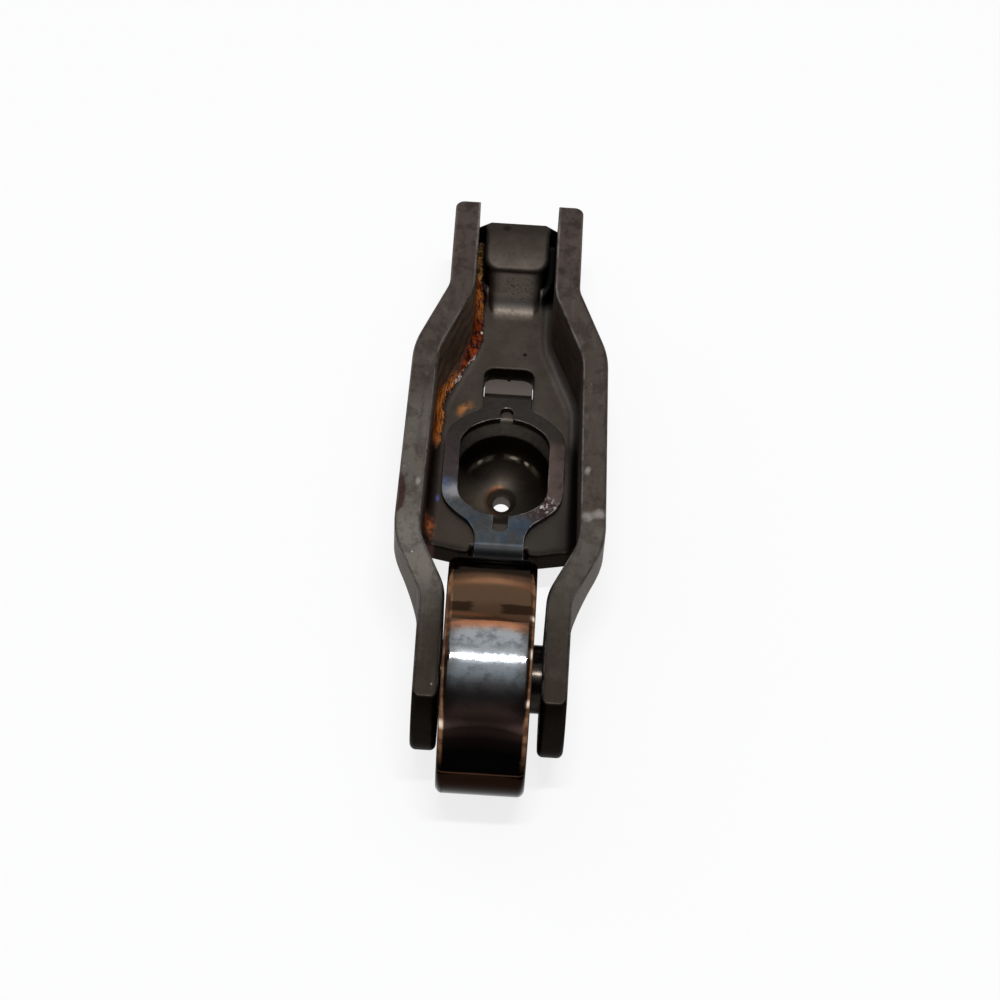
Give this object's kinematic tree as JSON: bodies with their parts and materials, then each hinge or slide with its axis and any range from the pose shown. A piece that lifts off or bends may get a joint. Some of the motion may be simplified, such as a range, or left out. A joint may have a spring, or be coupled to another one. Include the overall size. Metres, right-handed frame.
{
  "type": "rocker arm",
  "caption": "Formed steel rocker arm: channel body with a central ball socket, spring clip, crowned valve pad and needle-bearing cam roller.",
  "frame": {"origin": "centre of the ball socket in the middle of the arm", "axes": "+Z out of the socket, on the open side of the channel; +Y towards the valve pad, so the roller is at -Y; +X across the arm"},
  "size_m": [0.0204, 0.0639, 0.0237],
  "materials": {
    "rocker_body": "formed and hardened steel, oil-stained satin",
    "axle": "ground steel",
    "roller": "ground bearing steel with brown oil varnish",
    "retaining_clip": "blued spring steel",
    "needle": "ground bearing steel"
  },
  "bodies": {
    "arm": {"rocker_body": "rocker_body", "axle": "axle", "retaining_clip": "retaining_clip"},
    "roller": {"roller": "roller"},
    "needles": {"needle_01": "needle", "needle_02": "needle", "needle_03": "needle", "needle_04": "needle", "needle_05": "needle", "needle_06": "needle", "needle_07": "needle", "needle_08": "needle", "needle_09": "needle", "needle_10": "needle", "needle_11": "needle", "needle_12": "needle", "needle_13": "needle", "needle_14": "needle", "needle_15": "needle", "needle_16": "needle"}
  },
  "joints": [
    {"name": "roller_spin", "type": "hinge", "parent": "arm", "child": "roller", "pos_m": [-0.0004, -0.02527, 0.00547], "axis": [1, 0, 0], "continuous": true},
    {"name": "needle_orbit", "type": "hinge", "parent": "arm", "child": "needles", "pos_m": [-0.0004, -0.02527, 0.00547], "axis": [1, 0, 0], "continuous": true}
  ],
  "couplings": [
    {"joint": "needle_orbit", "follows": "roller_spin", "ratio": 0.5985}
  ]
}
